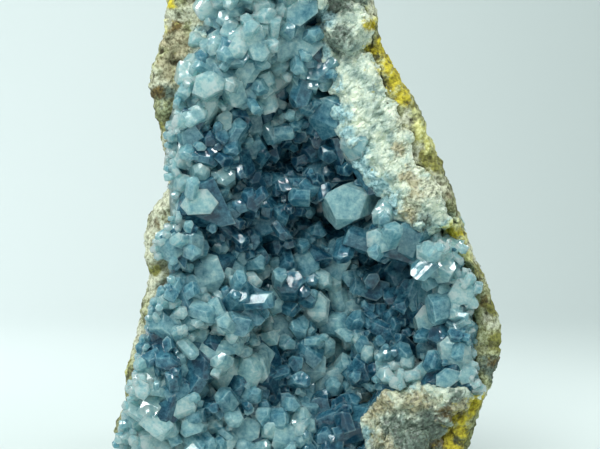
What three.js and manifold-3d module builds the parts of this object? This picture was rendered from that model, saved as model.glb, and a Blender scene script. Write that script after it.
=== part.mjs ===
// A celestite geode, broken open at the front and standing on the flat spot at its base.
// Units are millimetres, +Z is up, and the open side faces -Y.
// It has two pieces: the limestone shell, and the crust of blue crystals that lines its hollow.

import * as THREE from "three";
import { ConvexGeometry } from "three/addons/geometries/ConvexGeometry.js";
import { ImprovedNoise } from "three/addons/math/ImprovedNoise.js";
import { mergeVertices } from "three/addons/utils/BufferGeometryUtils.js";
import Module from "manifold-3d";

const wasm = await Module();
wasm.setup();

// ---------------------------------------------------------------- driving dimensions

const HEIGHT = 245; // from the flat base to the peak

// The outline seen from the front, as [x, z], from the base up to the peak.
const LEFT_EDGE = [
  [-58, 0], [-68, 6], [-75, 18], [-78, 31], [-73, 42], [-72, 48], [-74, 56], [-69, 69], [-66, 86],
  [-61, 94], [-65, 105], [-65, 113], [-59, 128], [-52, 134], [-57, 147], [-58, 155], [-62, 172],
  [-62, 180], [-57, 193], [-55, 201], [-55, 212], [-52, 223], [-42, 236], [-25, 243], [-13, HEIGHT],
];
const RIGHT_EDGE = [
  [52, 0], [63, 11], [71, 25], [75, 40], [80, 51], [84, 62], [82, 82], [76, 98], [69, 113],
  [64, 126], [59, 140], [53, 159], [40, 180], [33, 191], [31, 207], [27, 219], [19, 229],
  [2, 241], [-13, HEIGHT],
];

// How wide the bare broken rim is on each side of the hollow, as [width, z].
const LEFT_RIM = [
  [6, 0], [3, 30], [4, 60], [5, 90], [8, 105], [8, 120], [3, 134], [3, 155], [10, 170], [15, 190],
  [16, 202], [12, 215], [9, 230], [8, HEIGHT],
];
const RIGHT_RIM = [
  [8, 0], [14, 20], [14, 40], [9, 55], [8, 75], [7, 95], [7, 115], [12, 135], [16, 150], [15, 165],
  [10, 180], [6, 195], [8, 210], [9, 230], [8, HEIGHT],
];
const WIDEST = 84; // how far the outline reaches from x = 0

const LOWEST_CRYSTALS = 11; // the crust ends this far above the base ...
const HIGHEST_CRYSTALS = HEIGHT - 8; // ... and this far below the peak

// The shell in depth. The rim lies in front of y = 0, and the back bulges behind it.
const RIM_FRONT = -14; // where the broken rim lies
const RIM_WAVE = 26; // width of the broad waves of the break ...
const RIM_UNEVEN = 3; // ... and their height
const RIM_CHIP = 9; // width of the chips on them ...
const RIM_CHIP_HEIGHT = 1.2; // ... and their height
const FRONT_REACH = 24; // how far the stone would reach forward if it were whole
const FRONT_SQUARE = 4; // how square its section is in front, where 2 is an ellipse ...
const BACK_SQUARE = 2.3; // ... and behind
const BACK_SHARE = 0.82; // depth of the back, as a share of the half width there
const HOLLOW_SHARE = 0.68; // depth of the hollow, as a share of the half width there
const HOLLOW_LEAN = 1.4; // above 1, the hollow is deepest right of the middle
const HOLLOW_SIDE = 0.85; // below 1, the hollow's side walls are steeper ...
const HOLLOW_END = 0.6; // ... and so are its upper and lower ends
const NODULE_SIZE = 42; // width of the nodules on the outside ...
const NODULE_HEIGHT = 9; // ... and how far they stand out
const KNOB_SIZE = 17; // width of the small knobs and pits between them ...
const KNOB_HEIGHT = 2.6; // ... and their relief

// The crust.
const CRUST_THICK = 7; // the massive layer that the crystals grow from
const CRUST_TAPER = 9; // the layer thins out over this distance at the rim
const CRUST_LUMP = 15; // width of the lumps in the layer ...
const CRUST_UNEVEN = 0.35; // ... and how much they change its thickness
const EDGE_LOBE = 14; // width of the lobes along the crust's edge ...
const EDGE_WANDER = 2; // ... and how far they reach
const SEAT_GAP = 0.6; // between shell and crust, along Y
const CRYSTAL_SPACING = 16; // between the ordinary crystals
const CRYSTAL_WIDTH = [9, 17]; // smallest and largest ordinary crystal
const CRYSTAL_BURIED = 4; // length of a crystal that is rooted in the layer
const CRYSTAL_NUDGE = 3.5; // how far an ordinary crystal stands off its grid
const CRYSTAL_LEAN = 0.5; // how far it leans, as a share of its height

// Deep pockets between the crystals, as [x, z, radius, extra depth].
const POCKETS = [
  [3, 149, 9, 15], [-9, 124, 12, 7], [35, 99, 11, 12], [25, 46, 8, 8], [-19, 49, 7, 6],
  [-58, 101, 7, 6], [-36, 118, 7, 6], [20, 74, 10, 6],
];
// Places where the crust swells forward, as [x, z, radius, height].
const SWELLS = [
  [-37, 62, 24, 12], [12, 84, 15, 8], [-20, 190, 26, 8], [-33, 132, 14, 6], [-10, 30, 22, 8],
  [-60, 40, 14, 6],
];
// Chunks of massive, milky crust along the right side, as [x, z, radius, how far forward].
const MASSIVE_CHUNKS = [
  [24, 180, 14, 9], [31, 163, 20, 11], [37, 146, 19, 11], [48, 131, 17, 10], [44, 115, 16, 9],
  [66, 92, 11, 9], [22, 200, 12, 8], [46, 38, 20, 9], [62, 52, 15, 9], [38, 21, 17, 8],
];
// The large crystals, as [x, z, width, length out of the crust, lean right, lean up, roll in degrees].
const LARGE_CRYSTALS = [
  [27, 127, 21, 17, -0.55, -0.25, 128], [-41, 128, 20, 11, -0.1, 0.35, 84], [-26, 127, 10, 9, 0.2, 0.2, 20],
  [-17, 129, 12, 11, 0.1, 0.3, 60], [10, 139, 21, 13, 0.15, 0.15, 28], [12, 163, 19, 15, -0.6, 0.1, 5],
  [21, 152, 14, 13, -0.45, -0.2, 70], [3, 193, 15, 13, 0.35, 0.15, 35], [3, 183, 12, 11, 0.2, 0.45, 75],
  [-16, 117, 13, 12, -0.1, 0.1, 15], [-38, 99, 17, 11, -0.05, 0.2, 100], [1, 101, 15, 13, 0.1, 0.3, 22],
  [15, 99, 14, 11, 0.25, 0.2, 50], [7, 81, 14, 14, -0.1, -0.35, 88], [21, 80, 11, 12, 0.1, -0.2, 10],
  [42, 95, 15, 13, -0.35, 0.3, 12], [50, 89, 14, 12, 0.1, 0.05, 65], [53, 79, 11, 14, 0.1, 0.25, 40],
  [45, 111, 19, 12, -0.2, -0.45, 90], [-36, 67, 17, 13, -0.1, 0.35, 48], [-19, 63, 15, 13, 0.15, 0.1, 0],
  [-30, 56, 17, 15, 0.05, -0.3, 33], [-43, 61, 14, 12, -0.3, 0.1, 77], [-8, 74, 15, 12, 0.2, 0.25, 15],
  [-10, 86, 13, 12, 0.1, 0.3, 57], [12, 49, 14, 12, 0.2, -0.15, 81], [-52, 111, 15, 10, -0.1, 0.2, 25],
  [-27, 192, 14, 12, 0.15, 0.3, 66], [-9, 180, 13, 11, -0.2, 0.2, 30], [-17, 159, 18, 13, 0.35, 0.05, 95],
  [-44, 163, 11, 10, -0.25, 0.3, 12], [-36, 174, 11, 11, 0.3, 0.1, 50], [3, 39, 13, 14, 0.3, -0.25, 5],
  [-47, 37, 16, 13, -0.3, 0.3, 70], [-24, 33, 15, 12, 0.1, 0.15, 20], [-60, 24, 13, 9, -0.2, 0.2, 44],
];

// Celestite's own angles, in degrees, measured from the crystal's long axis or its flat face.
const SIDE_ANGLE = 52; // the four long sides {011}, from the flat face's normal
const WEDGE_ANGLE = 38; // the two faces of the chisel tip {210}, from the long axis
const CORNER_ANGLE = 51; // the small faces {101} that cut the tip's corners, from the long axis

// Cutting blocks and mesh sizes.
const MARGIN = 10; // how much wider and taller the cutting blocks are than the stone
const FAR_FRONT = -120; // Y well in front of every piece
const FAR_BACK = 120; // Y well behind every piece
const FRONT_CELL = 10; // one cell of the broken front and of the crust's back
const LAYER_CELL = 14; // one cell of the crust's front, which the crystals nearly hide
const RING_STEP = 8.2; // height of one ring of the outside, and ...
const RING_SIDES = 32; // ... its number of corners

// ---------------------------------------------------------------- small helpers

const UP = new THREE.Vector3(0, 0, 1);
const noise = new ImprovedNoise();
const radians = THREE.MathUtils.degToRad;
const clamp = THREE.MathUtils.clamp;
const smooth = THREE.MathUtils.smoothstep;

// A sine or cosine without its last digits, so that the first and last corners of a ring still meet.
const tidy = (value) => Math.round(value * 1e6) / 1e6;

// Smooth noise from about -1 to 1, whose bumps are `size` across.
function bumps(x, y, z, size, seed = 0) {
  return 1.6 * noise.noise(x / size + seed * 7.3, y / size + 31.7, z / size - seed * 3.1);
}

// A repeatable random number source, so that the same geode grows each time.
function randomSource(seed) {
  let state = seed;
  return (low = 0, high = 1) => {
    state = (Math.imul(state, 1664525) + 1013904223) >>> 0;
    return low + ((high - low) * state) / 2 ** 32;
  };
}

// The value at height z along a list of [value, z], straight between its points.
function along(list, z) {
  const next = list.findIndex((point) => point[1] >= z);
  if (next < 0) return list.at(-1)[0];
  if (next === 0) return list[0][0];
  const [a, b] = [list[next - 1], list[next]];
  return THREE.MathUtils.mapLinear(z, a[1], b[1], a[0], b[0]);
}

// The sum at (x, z) of round bell-shaped bumps, each [x, z, radius, height].
function bells(list, x, z) {
  return list.reduce(
    (sum, [bx, bz, radius, height]) =>
      sum + height * Math.exp(-((x - bx) ** 2 + (z - bz) ** 2) / radius ** 2),
    0,
  );
}

// A three.js geometry as a solid that can be cut and joined.
function toSolid(geometry) {
  const bare = geometry.clone();
  for (const name of Object.keys(bare.attributes)) {
    if (name !== "position") bare.deleteAttribute(name);
  }
  const merged = mergeVertices(bare, 1e-3);
  return new wasm.Manifold(
    new wasm.Mesh({
      numProp: 3,
      vertProperties: merged.attributes.position.array,
      triVerts: new Uint32Array(merged.index.array),
    }),
  );
}

// A solid back as a three.js geometry.
function toGeometry(solid) {
  const { vertProperties, triVerts } = solid.getMesh();
  const geometry = new THREE.BufferGeometry();
  geometry.setAttribute("position", new THREE.BufferAttribute(vertProperties, 3));
  geometry.setIndex(new THREE.BufferAttribute(triVerts, 1));
  const flat = geometry.toNonIndexed();
  flat.computeVertexNormals();
  return flat;
}

// The biggest of a solid's separate bodies, which leaves out chips and the walls of sealed bubbles.
function largestBody(solid) {
  return solid.decompose().reduce((best, body) => (body.volume() > best.volume() ? body : best));
}

// Moves each corner of a geometry to where `place` puts it.
function reshape(geometry, place) {
  const position = geometry.attributes.position;
  const corner = new THREE.Vector3();
  for (let i = 0; i < position.count; i++) {
    corner.fromBufferAttribute(position, i);
    place(corner);
    position.setXYZ(i, corner.x, corner.y, corner.z);
  }
  return geometry;
}

// ---------------------------------------------------------------- the form of the stone

const leftEdge = (z) => along(LEFT_EDGE, z);
const rightEdge = (z) => along(RIGHT_EDGE, z);
const halfWidth = (z) => (rightEdge(z) - leftEdge(z)) / 2;

// How far (x, z) lies inside the edge of the crust, in millimetres; it is negative on the bare rim.
function insideCrust(x, z) {
  const left = x - leftEdge(z) - along(LEFT_RIM, z);
  const right = rightEdge(z) - along(RIGHT_RIM, z) - x;
  const wander = EDGE_WANDER * bumps(x, 0, z, EDGE_LOBE, 4);
  return Math.min(left, right, z - LOWEST_CRYSTALS, HIGHEST_CRYSTALS - z) + wander;
}

// Y of the rock's front: the broken rim outside, the hollow inside.
function rockFront(x, z) {
  const left = leftEdge(z) + along(LEFT_RIM, z);
  const right = rightEdge(z) - along(RIGHT_RIM, z);
  const across = clamp((x - left) / Math.max(right - left, 1), 0, 1);
  const upward = clamp((z - LOWEST_CRYSTALS) / (HIGHEST_CRYSTALS - LOWEST_CRYSTALS), 0, 1);
  const sides = Math.sin(Math.PI * across ** HOLLOW_LEAN) ** HOLLOW_SIDE;
  const ends = Math.sin(Math.PI * upward) ** HOLLOW_END;
  const inside = smooth(insideCrust(x, z), 0, 10);
  const waves = RIM_UNEVEN * bumps(x, 0, z, RIM_WAVE, 1);
  const chips = RIM_CHIP_HEIGHT * bumps(x, 0, z, RIM_CHIP, 2);
  const hollow = HOLLOW_SHARE * halfWidth(z) * sides * ends + inside * bells(POCKETS, x, z);
  return RIM_FRONT + waves + chips + Math.max(hollow, 0);
}

// Y of the crust's massive layer, which is nearer the front than the rock wherever there is crust.
function crustFront(x, z) {
  const taper = clamp(insideCrust(x, z) / CRUST_TAPER, -1, 1);
  const lumpy = 1 + CRUST_UNEVEN * bumps(x, 0, z, CRUST_LUMP, 3);
  const swell = Math.max(taper, 0) * bells(SWELLS, x, z);
  return rockFront(x, z) - SEAT_GAP - CRUST_THICK * taper * lumpy - swell;
}

// The way out of the crust at (x, z), square to its surface.
function outward(x, z, step = 4) {
  const slopeX = (crustFront(x + step, z) - crustFront(x - step, z)) / (2 * step);
  const slopeZ = (crustFront(x, z + step) - crustFront(x, z - step)) / (2 * step);
  return new THREE.Vector3(slopeX, -1, slopeZ).normalize();
}

// The whole stone before it broke: rings that follow the outline, bulging back and a little forward.
function wholeStone() {
  const rings = Math.round(HEIGHT / RING_STEP);
  const stone = new THREE.CylinderGeometry(1, 1, 1, RING_SIDES, rings).rotateX(Math.PI / 2);
  return reshape(stone, (corner) => {
    const z = clamp((corner.z + 0.5) * HEIGHT, 0, HEIGHT);
    const radius = Math.hypot(corner.x, corner.y); // 1 on the side, 0 in the middle of each cap
    const turn = Math.atan2(corner.y, corner.x);
    const half = Math.max(halfWidth(z), 0.5);
    const isBack = Math.sin(turn) > 0;
    const square = isBack ? BACK_SQUARE : FRONT_SQUARE;
    const reach = isBack ? BACK_SHARE * half : Math.min(FRONT_REACH, 0.6 * half);
    const bend = (value) => Math.sign(value) * Math.abs(value) ** (2 / square);
    const across = half * bend(tidy(Math.cos(turn)));
    const back = reach * bend(tidy(Math.sin(turn)));
    const middle = (leftEdge(z) + rightEdge(z)) / 2;

    // Nodules and knobs on the back fade out towards the outline, the base and the peak.
    const fade = smooth(z, 0, 20) * smooth(HEIGHT - z, 0, 25);
    const nodule = 0.7 - 2 * Math.abs(bumps(across, back, z, NODULE_SIZE, 5));
    const knob = bumps(across, back, z, KNOB_SIZE, 6);
    const share = isBack ? Math.sin(turn) : 0;
    const swell = fade * (share * NODULE_HEIGHT * nodule + (0.3 + 0.7 * share) * KNOB_HEIGHT * knob);
    const grow = 1 + swell / Math.max(Math.hypot(across, back), 10);
    corner.set(middle + across * radius * grow, back * radius * grow, z);
  });
}

// Everything from `frontY` forward, with its back face following `surface`.
function spaceInFront(surface, frontY) {
  return sheetBlock(FRONT_CELL, (x, z) => [frontY, surface(x, z)]);
}

// A block over the whole front view, in cells of that size, between two Y values at each (x, z).
function sheetBlock(cell, span) {
  const width = 2 * (WIDEST + MARGIN);
  const height = HEIGHT + 2 * MARGIN;
  const columns = Math.round(width / cell);
  const rows = Math.round(height / cell);
  const block = new THREE.BoxGeometry(width, 1, height, columns, 1, rows);
  return reshape(block, (corner) => {
    const isBack = corner.y > 0;
    corner.z += HEIGHT / 2;
    corner.y = span(corner.x, corner.z)[isBack ? 1 : 0];
  });
}

// ---------------------------------------------------------------- crystals

// The points of the convex solid bounded by planes, each [outward normal, distance from the origin].
function cornersOf(planes) {
  const corners = [];
  const matrix = new THREE.Matrix3();
  for (let i = 0; i < planes.length; i++) {
    for (let j = i + 1; j < planes.length; j++) {
      for (let k = j + 1; k < planes.length; k++) {
        const [[a, da], [b, db], [c, dc]] = [planes[i], planes[j], planes[k]];
        matrix.set(a.x, a.y, a.z, b.x, b.y, b.z, c.x, c.y, c.z);
        if (Math.abs(matrix.determinant()) < 1e-6) continue;
        const corner = new THREE.Vector3(da, db, dc).applyMatrix3(matrix.invert());
        const isInside = planes.every(([normal, d]) => normal.dot(corner) < d + 1e-4);
        const isNew = corners.every((other) => other.distanceTo(corner) > 0.05);
        if (isInside && isNew) corners.push(corner);
      }
    }
  }
  return corners;
}

// One celestite crystal, its long axis along +X and its root at the origin.
function crystalGeometry(width, length, random) {
  const side = radians(SIDE_ANGLE);
  const wedge = radians(WEDGE_ANGLE);
  const cut = radians(CORNER_ANGLE);
  const vary = (size) => size * random(0.88, 1.12);
  const plane = (x, y, z, distance) => [new THREE.Vector3(x, y, z), distance];
  const half = width / 2;
  const tip = length * Math.cos(wedge);
  const planes = [
    plane(-1, 0, 0, CRYSTAL_BURIED),
    plane(0, Math.sin(side), Math.cos(side), vary(0.95 * half)),
    plane(0, -Math.sin(side), Math.cos(side), vary(0.95 * half)),
    plane(0, Math.sin(side), -Math.cos(side), vary(0.95 * half)),
    plane(0, -Math.sin(side), -Math.cos(side), vary(0.95 * half)),
    plane(0, 0, 1, vary(0.8 * half)),
    plane(Math.cos(wedge), Math.sin(wedge), 0, vary(tip)),
    plane(Math.cos(wedge), -Math.sin(wedge), 0, vary(tip)),
    plane(Math.cos(cut), 0, Math.sin(cut), length * Math.cos(cut) + vary(0.3 * half)),
    plane(1, 0, 0, length * random(0.72, 0.95)),
  ];
  return new ConvexGeometry(cornersOf(planes));
}

// A crystal standing at (x, z) of the crust, leaning from its surface and rolled about its axis.
function plantCrystal({ x, z, width, length, lean, roll, random }) {
  const axis = outward(x, z).add(lean).normalize();
  const turn = new THREE.Quaternion().setFromUnitVectors(new THREE.Vector3(1, 0, 0), axis);
  turn.multiply(new THREE.Quaternion().setFromAxisAngle(new THREE.Vector3(1, 0, 0), radians(roll)));
  const root = new THREE.Vector3(x, crustFront(x, z), z);
  const place = new THREE.Matrix4().compose(root, turn, new THREE.Vector3(1, 1, 1));
  return toSolid(crystalGeometry(width, length, random).applyMatrix4(place));
}

function largeCrystals(random) {
  return LARGE_CRYSTALS.map(([x, z, width, length, leanX, leanZ, roll]) =>
    plantCrystal({ x, z, width, length, lean: new THREE.Vector3(leanX, 0, leanZ), roll, random }),
  );
}

// Ordinary crystals on a staggered grid, each nudged off it, smaller where the crust thins out.
function ordinaryCrystals(random) {
  const crystals = [];
  const rowStep = CRYSTAL_SPACING * Math.sin(radians(60));
  for (let row = 0; row * rowStep < HEIGHT; row++) {
    const stagger = (row % 2) * (CRYSTAL_SPACING / 2);
    for (let column = -8; column <= 8; column++) {
      const x = column * CRYSTAL_SPACING + stagger + random(-CRYSTAL_NUDGE, CRYSTAL_NUDGE);
      const z = row * rowStep + random(-CRYSTAL_NUDGE, CRYSTAL_NUDGE);
      const inside = insideCrust(x, z);
      const size = random(...CRYSTAL_WIDTH) * smooth(inside, -16, 12);
      const leanX = random(-CRYSTAL_LEAN, CRYSTAL_LEAN);
      const leanZ = random(-CRYSTAL_LEAN, CRYSTAL_LEAN) + 0.1; // a little more up than down
      const lean = new THREE.Vector3(leanX, 0, leanZ);
      const roll = random(0, 180);
      const isTaken = LARGE_CRYSTALS.some(
        ([lx, lz, width]) => Math.hypot(x - lx, z - lz) < 0.45 * width + 0.3 * size,
      );
      if (inside < 1.5 || isTaken) continue;
      const length = size * random(0.75, 1.2);
      crystals.push(plantCrystal({ x, z, width: size, length, lean, roll, random }));
    }
  }
  return crystals;
}

// A broken chunk of massive crust, half sunk in the layer, with an uneven facet at each corner.
function massiveChunk([x, z, radius, forward], index) {
  const round = new THREE.IcosahedronGeometry(1, 0).attributes.position;
  const seat = new THREE.Vector3(x, Math.min(crustFront(x, z), RIM_FRONT + 6), z);
  const corners = [];
  for (let i = 0; i < round.count; i++) {
    const corner = new THREE.Vector3().fromBufferAttribute(round, i).applyAxisAngle(UP, index);
    const uneven = 1 + 0.2 * bumps(9 * corner.x + 40 * index, 9 * corner.y, 9 * corner.z, 5, 8);
    corner.multiply(new THREE.Vector3(radius, forward, radius)).multiplyScalar(uneven);
    corners.push(corner.add(seat));
  }
  return toSolid(new ConvexGeometry(corners));
}

// ---------------------------------------------------------------- the two pieces

const shellMaterial = new THREE.MeshStandardMaterial({
  color: "#b7aa86",
  roughness: 0.95,
  metalness: 0,
});
const crystalMaterial = new THREE.MeshStandardMaterial({
  color: "#8fb2c2",
  roughness: 0.2,
  metalness: 0,
});

// The stone with everything in front of its broken face and hollow taken away.
function limestoneShell() {
  const opening = toSolid(spaceInFront(rockFront, FAR_FRONT));
  return toSolid(wholeStone()).subtract(opening);
}

// The massive layer, its lumps and all its crystals, grown together and cut off at the rock.
function crystalCrust() {
  const random = randomSource(20);
  const layer = toSolid(sheetBlock(LAYER_CELL, (x, z) => [crustFront(x, z), FAR_BACK]));
  const grown = [
    layer,
    ...MASSIVE_CHUNKS.map(massiveChunk),
    ...largeCrystals(random),
    ...ordinaryCrystals(random),
  ].reduce((whole, piece) => whole.add(piece));
  const room = toSolid(spaceInFront((x, z) => rockFront(x, z) - SEAT_GAP, FAR_FRONT));
  return largestBody(grown.intersect(room));
}

function namedMesh(name, solid, material) {
  const mesh = new THREE.Mesh(toGeometry(solid), material);
  mesh.name = name;
  return mesh;
}

const geode = new THREE.Group();
geode.add(namedMesh("limestone_shell", limestoneShell(), shellMaterial));
geode.add(namedMesh("crystal_crust", crystalCrust(), crystalMaterial));

// The origin is the middle of the geode's box, on the surface that it stands on.
const box = new THREE.Box3().setFromObject(geode);
const middle = box.getCenter(new THREE.Vector3());
geode.position.set(-middle.x, -middle.y, 0);

export default geode;
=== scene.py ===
# %% [markdown]
# # A celestite geode
#
# A geode is a hollow stone whose walls are lined with crystals. Groundwater left a bubble-like gap
# in the limestone, and over a long time it grew celestite into the gap: first a massive, milky
# layer on the rock, then clear blue crystals with flat faces. This one was broken open and stands
# on a flat spot. The CAD model holds its true size and its larger crystals. This script gives it
# the small crystals, the grain of the rock and the finish of both.

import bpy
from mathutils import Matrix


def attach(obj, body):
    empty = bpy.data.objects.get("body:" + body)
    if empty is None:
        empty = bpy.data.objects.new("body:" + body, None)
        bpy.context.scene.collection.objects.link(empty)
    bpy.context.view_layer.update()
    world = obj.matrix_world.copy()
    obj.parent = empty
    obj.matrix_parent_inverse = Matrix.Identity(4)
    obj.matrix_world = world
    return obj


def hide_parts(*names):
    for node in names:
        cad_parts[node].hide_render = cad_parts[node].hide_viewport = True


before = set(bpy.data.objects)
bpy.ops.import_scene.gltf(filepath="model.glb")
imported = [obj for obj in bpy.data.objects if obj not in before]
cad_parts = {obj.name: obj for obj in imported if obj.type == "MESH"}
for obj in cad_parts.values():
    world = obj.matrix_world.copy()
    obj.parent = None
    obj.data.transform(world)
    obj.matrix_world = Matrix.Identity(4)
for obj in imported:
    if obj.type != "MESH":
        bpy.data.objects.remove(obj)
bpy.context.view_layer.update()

# %% Modules and units
import math
from itertools import combinations

import bmesh
import bpy
import numpy as np
from mathutils import Matrix, Vector, noise
from mathutils.bvhtree import BVHTree
from mathutils.kdtree import KDTree

MM = 0.001
UP = Vector((0, 0, 1))
BACKWARD = Vector((0, 1, 0))

# %% [markdown]
# ## The camera
#
# The view is level with the middle of the stone and looks a little down into the hollow. A short
# lens close by would swell the middle of the stone and shrink its ends. A long lens from three
# quarters of a metre keeps the outline nearly free of perspective. The view is tight: the peak
# and the base fall outside it.

# %% Camera
AIM = Vector((-3.5, -15, 117.4)) * MM
DISTANCE = 0.75
ELEVATION = math.radians(4)
VIEW_WIDTH = 252 * MM  # what the view takes in at the aim point
SENSOR_MM = 36

toward_camera = Vector((0, -math.cos(ELEVATION), math.sin(ELEVATION)))
camera = bpy.data.objects.new("camera", bpy.data.cameras.new("camera"))
bpy.context.scene.collection.objects.link(camera)
camera.location = AIM + DISTANCE * toward_camera
camera.rotation_euler = (-toward_camera).to_track_quat("-Z", "Y").to_euler()
camera.data.sensor_width = SENSOR_MM
camera.data.lens = SENSOR_MM * DISTANCE / VIEW_WIDTH
camera.data.clip_start = 10 * MM
bpy.context.scene.camera = camera
print(f"Lens: {camera.data.lens:.0f} mm")

# %% [markdown]
# ## Helpers for materials
#
# Colours are written as sRGB hex values, as a paint chart gives them, and Blender's shaders work
# in linear light, so one function converts them. Another adds a node, sets it up and links it,
# which keeps each material below a short list of what it is made of. Sockets go by their names,
# or by number where several share one. In a Map Range, 0 is the value, 1 and 2 are the range it
# comes from, and 3 and 4 the range it goes to. In a Mix of colours, 6 and 7 are the two colours.

# %% Material helpers
def linear(hex_colour):
    """An sRGB hex colour as the linear RGBA that shaders use."""
    values = [int(hex_colour[i : i + 2], 16) / 255 for i in (1, 3, 5)]
    return (*[v / 12.92 if v <= 0.04045 else ((v + 0.055) / 1.055) ** 2.4 for v in values], 1)


def add(tree, kind, inputs=None, stops=(), **settings):
    """Adds a node. An input is a value, a hex colour, or another node's output socket."""
    node = tree.nodes.new(kind)
    for name, value in settings.items():
        setattr(node, name, value)
    for key, value in (inputs or {}).items():
        if isinstance(value, bpy.types.NodeSocket):
            tree.links.new(value, node.inputs[key])
        else:
            node.inputs[key].default_value = linear(value) if isinstance(value, str) else value
    for i, (position, colour) in enumerate(stops):
        elements = node.color_ramp.elements
        element = elements[i] if i < len(elements) else elements.new(position)
        element.position = position
        element.color = linear(colour)
    return node


def new_material(name):
    """A material with an empty tree, its output node, and the place of each point in metres."""
    material = bpy.data.materials.new(name)
    material.use_nodes = True
    tree = material.node_tree
    tree.nodes.clear()
    place = add(tree, "ShaderNodeTexCoord").outputs["Object"]
    return material, tree, add(tree, "ShaderNodeOutputMaterial"), place


def per_metre(size_mm):
    """The scale of a procedural pattern whose features are that many millimetres across."""
    return 1 / (size_mm * MM)


# %% [markdown]
# ## Helpers for shapes
#
# Rock and crystal are both told by their surface, so both need real geometry. A few small tools
# do most of it: smooth noise to move points by, soft round patches that say where on the front a
# zone lies, and a way to get a clean, closed mesh from a CAD node.

# %% Shape helpers
OCTAVE_FADE = 0.9  # how fast the finer waves of the noise weaken
OCTAVE_STEP = 2.1  # how much finer each is than the one before
GROOVE = 0.22  # width of the groove between two grains, as a share of a grain
PATCH_FADE = 0.7  # leaves a soft patch half its strength at its radius


def lumps(point, size_mm, octaves=2, seed=0):
    """Fractal noise from about -1 to 1 at a point in metres, with features of that size."""
    elsewhere = Vector((seed * 17.3, seed * 5.1, -seed * 9.7))
    place = Vector(point) / (size_mm * MM) + elsewhere
    return noise.fractal(place, OCTAVE_FADE, OCTAVE_STEP, octaves, noise_basis="PERLIN_ORIGINAL")


def grains(point, size_mm, seed=0):
    """Height from about -1 to 1 of a broken, granular surface whose grains are of that size."""
    elsewhere = Vector((seed * 7.7, seed * 3.9, seed * 11.3))
    distances, centres = noise.voronoi(Vector(point) / (size_mm * MM) + elsewhere)
    in_grain = min((distances[1] - distances[0]) / GROOVE, 1)
    own_height = noise.cell(centres[0] * 7.1)
    return 0.6 * own_height + 0.8 * in_grain - 0.4


def smooth(value, low, high):
    """0 below low, 1 above high, and an even S-curve between them."""
    t = np.clip((np.asarray(value, float) - low) / (high - low), 0, 1)
    return t * t * (3 - 2 * t)


def patches(places, points):
    """From 0 to 1, how far points in metres lie in soft round patches [x mm, z mm, radius mm]."""
    total = np.zeros(len(points))
    for x, z, radius in places:
        apart = np.hypot(points[:, 0] / MM - x, points[:, 2] / MM - z)
        total = np.maximum(total, np.exp(-PATCH_FADE * (apart / radius) ** 2))
    return total


def vertex_vectors(mesh, kind="co"):
    """The places, or the normals, of a mesh's vertices, as an array."""
    values = np.empty(3 * len(mesh.vertices))
    mesh.vertices.foreach_get(kind, values)
    return values.reshape(-1, 3)


def set_vertex_values(mesh, name, values):
    """Stores one number for each vertex, for a material to read."""
    attribute = mesh.attributes.new(name, "FLOAT", "POINT")
    attribute.data.foreach_set("value", np.asarray(values, np.float32))


# %% Meshes from the CAD model
WELD_MM = 0.002  # corners closer than this are one corner


def new_object(name, mesh):
    """A mesh as an object of the scene."""
    made = bpy.data.objects.new(name, mesh)
    bpy.context.scene.collection.objects.link(made)
    return made


def welded(node, name):
    """A new object with a CAD node's shape, its corners welded into one closed mesh."""
    form = bmesh.new()
    form.from_mesh(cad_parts[node].data)
    bmesh.ops.remove_doubles(form, verts=form.verts, dist=WELD_MM * MM)
    mesh = bpy.data.meshes.new(name)
    form.to_mesh(mesh)
    form.free()
    mesh.materials.clear()
    for attribute in [a for a in mesh.attributes if not a.is_internal and not a.is_required]:
        mesh.attributes.remove(attribute)
    return new_object(name, mesh)


# %% Cutting, joining and rebuilding
def bake_modifiers(thing):
    """Turns an object's modifiers into plain mesh."""
    graph = bpy.context.evaluated_depsgraph_get()
    old = thing.data
    thing.data = bpy.data.meshes.new_from_object(thing.evaluated_get(graph))
    thing.modifiers.clear()
    bpy.data.meshes.remove(old)


def combine(body, mesh, operation):
    """Joins a body with a closed mesh, or keeps only what they share, and uses the mesh up."""
    other = new_object("other", mesh)
    boolean = body.modifiers.new("boolean", "BOOLEAN")
    boolean.operation = operation
    boolean.solver = "MANIFOLD"
    boolean.object = other
    bake_modifiers(body)
    bpy.data.objects.remove(other)
    bpy.data.meshes.remove(mesh)


def even_out(body, size_mm):
    """Rebuilds a closed mesh from equal small faces, so that fine noise can move them."""
    remesh = body.modifiers.new("even", "REMESH")
    remesh.mode = "VOXEL"
    remesh.voxel_size = size_mm * MM
    bake_modifiers(body)


def triangles(thing):
    """How many triangles an object has."""
    thing.data.calc_loop_triangles()
    return len(thing.data.loop_triangles)


# %% [markdown]
# ## The shape of one celestite crystal
#
# Celestite belongs to the orthorhombic system, so its faces meet at fixed angles. The common faces
# are four long sides, a flat face along the crystal, a chisel tip of two faces, and small faces
# that cut the tip's corners. A crystal is the space inside all those planes. Moving each plane in
# or out a little, as growth does, gives many shapes with the same angles. Copies of one crystal
# modelled by hand would be seen to repeat. A few dozen shapes, turned and scaled, don't.

# %% Crystal shapes
# Angles between the long axis, or the flat face, and the faces of a kind.
SIDE = math.radians(52)
WEDGE = math.radians(38)
CORNER = math.radians(51)
BURIED = 0.45  # how much of a crystal is rooted, as a share of its width
TOUCH = 1e-6  # how near counts as on a plane, for a crystal one unit wide


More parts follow.
